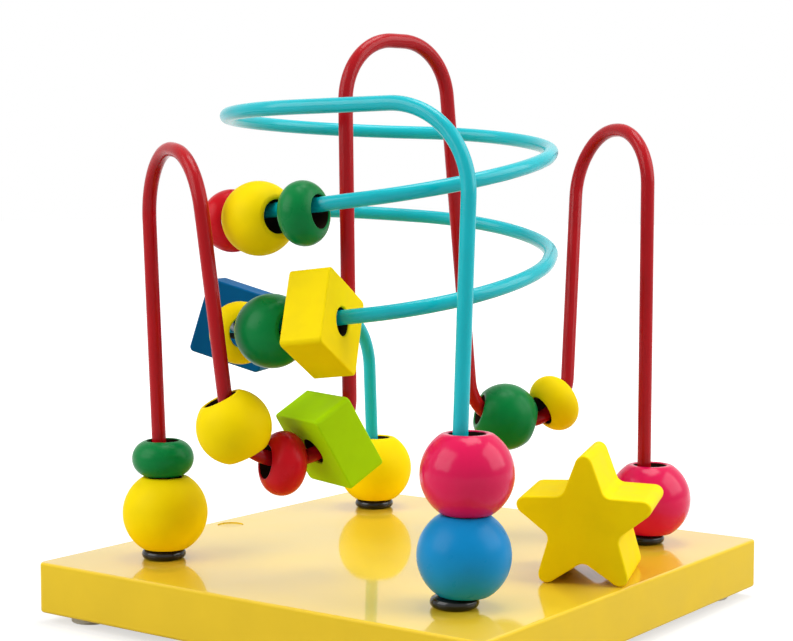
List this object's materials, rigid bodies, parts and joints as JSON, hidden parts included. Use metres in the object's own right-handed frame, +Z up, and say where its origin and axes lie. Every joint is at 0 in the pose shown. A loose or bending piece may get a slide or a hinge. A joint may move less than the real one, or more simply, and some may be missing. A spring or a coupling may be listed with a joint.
{
  "type": "bead maze",
  "caption": "Wooden bead maze: a square board with two crossing bent wires, one in arches and one coiled, carrying sliding balls, rondelles and square tiles, and a star block.",
  "frame": {"origin": "middle of the whole footprint, on the floor under the foot pads; the board's own middle lies 3.1 mm towards -X of it, because the star reaches past the board's edge", "axes": "+Z up; +X along the board's edge from the left corner to the front corner, +Y along the edge from the left corner to the rear corner"},
  "size_m": [0.1622, 0.156, 0.1719],
  "materials": {
    "board_lacquer": "clear lacquer over yellow stain",
    "plug_wood": "lacquered",
    "foot_pad": "matt",
    "ferrule_black": "gloss",
    "red_wire_paint": "gloss powder coat",
    "teal_wire_paint": "gloss powder coat",
    "steel_pin": "bright",
    "yellow_paint": "gloss paint",
    "green_paint": "gloss paint",
    "blue_paint": "gloss paint",
    "navy_paint": "gloss paint",
    "pink_paint": "gloss paint",
    "red_paint": "gloss paint",
    "lime_paint": "gloss paint"
  },
  "bodies": {
    "base": {"base_board": "board_lacquer", "board_plug": "plug_wood", "foot_pad_left": "foot_pad", "foot_pad_front": "foot_pad", "foot_pad_right": "foot_pad", "foot_pad_rear": "foot_pad", "ferrule_left": "ferrule_black", "ferrule_front": "ferrule_black", "ferrule_right": "ferrule_black", "ferrule_rear": "ferrule_black", "red_wire": "red_wire_paint", "teal_wire": "teal_wire_paint", "star_block": "yellow_paint", "star_pins": "steel_pin"},
    "left_foot_yellow_ball": {"left_foot_yellow_ball": "yellow_paint"},
    "left_foot_green_rondelle": {"left_foot_green_rondelle": "green_paint"},
    "front_foot_blue_ball": {"front_foot_blue_ball": "blue_paint"},
    "front_foot_pink_ball": {"front_foot_pink_ball": "pink_paint"},
    "right_foot_pink_ball": {"right_foot_pink_ball": "pink_paint"},
    "rear_foot_yellow_ball": {"rear_foot_yellow_ball": "yellow_paint"},
    "left_dip_yellow_ball": {"left_dip_yellow_ball": "yellow_paint"},
    "left_dip_red_rondelle": {"left_dip_red_rondelle": "red_paint"},
    "left_dip_lime_tile": {"left_dip_lime_tile": "lime_paint"},
    "right_dip_green_ball": {"right_dip_green_ball": "green_paint"},
    "right_dip_yellow_rondelle": {"right_dip_yellow_rondelle": "yellow_paint"},
    "upper_turn_green_rondelle": {"upper_turn_green_rondelle": "green_paint"},
    "upper_turn_yellow_ball": {"upper_turn_yellow_ball": "yellow_paint"},
    "upper_turn_red_rondelle": {"upper_turn_red_rondelle": "red_paint"},
    "lower_turn_yellow_tile": {"lower_turn_yellow_tile": "yellow_paint"},
    "lower_turn_green_ball": {"lower_turn_green_ball": "green_paint"},
    "lower_turn_yellow_rondelle": {"lower_turn_yellow_rondelle": "yellow_paint"},
    "lower_turn_blue_tile": {"lower_turn_blue_tile": "navy_paint"}
  },
  "joints": [
    {"name": "left_foot_yellow_ball_lift", "type": "slide", "parent": "base", "child": "left_foot_yellow_ball", "axis": [-0.0689, 0.0243, 0.9973], "range_m": [0, 0.03]},
    {"name": "left_foot_green_rondelle_lift", "type": "slide", "parent": "left_foot_yellow_ball", "child": "left_foot_green_rondelle", "axis": [-0.0689, 0.0243, 0.9973], "range_m": [0, 0.03]},
    {"name": "front_foot_blue_ball_lift", "type": "slide", "parent": "base", "child": "front_foot_blue_ball", "axis": [0, 0.0567, 0.9984], "range_m": [0, 0.027]},
    {"name": "front_foot_pink_ball_lift", "type": "slide", "parent": "front_foot_blue_ball", "child": "front_foot_pink_ball", "axis": [0, 0.0567, 0.9984], "range_m": [0, 0.027]},
    {"name": "right_foot_pink_ball_lift", "type": "slide", "parent": "base", "child": "right_foot_pink_ball", "axis": [-0.0118, 0.0274, 0.9996], "range_m": [0, 0.08]},
    {"name": "rear_foot_yellow_ball_lift", "type": "slide", "parent": "base", "child": "rear_foot_yellow_ball", "axis": [0.0142, -0.0712, 0.9974], "range_m": [0, 0.022]},
    {"name": "left_dip_red_rondelle_ride", "type": "hinge", "parent": "base", "child": "left_dip_red_rondelle", "pos_m": [-0.00903, -0.04946, 0.06805], "axis": [0.8776, -0.4741, 0.0712], "range_deg": [-7, 7]},
    {"name": "left_dip_yellow_ball_ride", "type": "hinge", "parent": "left_dip_red_rondelle", "child": "left_dip_yellow_ball", "pos_m": [-0.00903, -0.04946, 0.06805], "axis": [0.8776, -0.4741, 0.0712], "range_deg": [-15, 0]},
    {"name": "left_dip_lime_tile_ride", "type": "hinge", "parent": "left_dip_red_rondelle", "child": "left_dip_lime_tile", "pos_m": [-0.00761, -0.04811, 0.06809], "axis": [0.8793, -0.475, 0.0342], "range_deg": [0, 18]},
    {"name": "right_dip_green_ball_ride", "type": "hinge", "parent": "base", "child": "right_dip_green_ball", "pos_m": [0.01082, 0.04015, 0.06934], "axis": [0.7884, -0.6133, 0.0467], "range_deg": [-7, 8]},
    {"name": "right_dip_yellow_rondelle_ride", "type": "hinge", "parent": "right_dip_green_ball", "child": "right_dip_yellow_rondelle", "pos_m": [0.00979, 0.04333, 0.06927], "axis": [0.7657, -0.603, 0.2238], "range_deg": [0, 18]},
    {"name": "upper_turn_yellow_ball_ride", "type": "hinge", "parent": "base", "child": "upper_turn_yellow_ball", "pos_m": [-0.00859, -0.0062, 0.1257], "axis": [0.0933, 0.0915, -0.9914], "range_deg": [-18, 20]},
    {"name": "upper_turn_green_rondelle_ride", "type": "hinge", "parent": "upper_turn_yellow_ball", "child": "upper_turn_green_rondelle", "pos_m": [-0.00859, -0.0062, 0.1257], "axis": [0.0933, 0.0915, -0.9914], "range_deg": [-15, 0]},
    {"name": "upper_turn_red_rondelle_ride", "type": "hinge", "parent": "upper_turn_yellow_ball", "child": "upper_turn_red_rondelle", "pos_m": [-0.00859, -0.0062, 0.1257], "axis": [0.0933, 0.0915, -0.9914], "range_deg": [0, 20]},
    {"name": "lower_turn_green_ball_ride", "type": "hinge", "parent": "base", "child": "lower_turn_green_ball", "pos_m": [-0.0069, -0.00534, 0.09155], "axis": [0.1119, 0.0336, -0.9931], "range_deg": [-10, 10]},
    {"name": "lower_turn_yellow_tile_ride", "type": "hinge", "parent": "lower_turn_green_ball", "child": "lower_turn_yellow_tile", "pos_m": [-0.0069, -0.00534, 0.09155], "axis": [0.1119, 0.0336, -0.9931], "range_deg": [-10, 0]},
    {"name": "lower_turn_yellow_rondelle_ride", "type": "hinge", "parent": "lower_turn_green_ball", "child": "lower_turn_yellow_rondelle", "pos_m": [-0.0069, -0.00534, 0.09155], "axis": [0.1119, 0.0336, -0.9931], "range_deg": [0, 10]},
    {"name": "lower_turn_blue_tile_ride", "type": "hinge", "parent": "lower_turn_yellow_rondelle", "child": "lower_turn_blue_tile", "pos_m": [-0.0069, -0.00534, 0.09155], "axis": [0.1119, 0.0336, -0.9931], "range_deg": [-12, 8]}
  ]
}
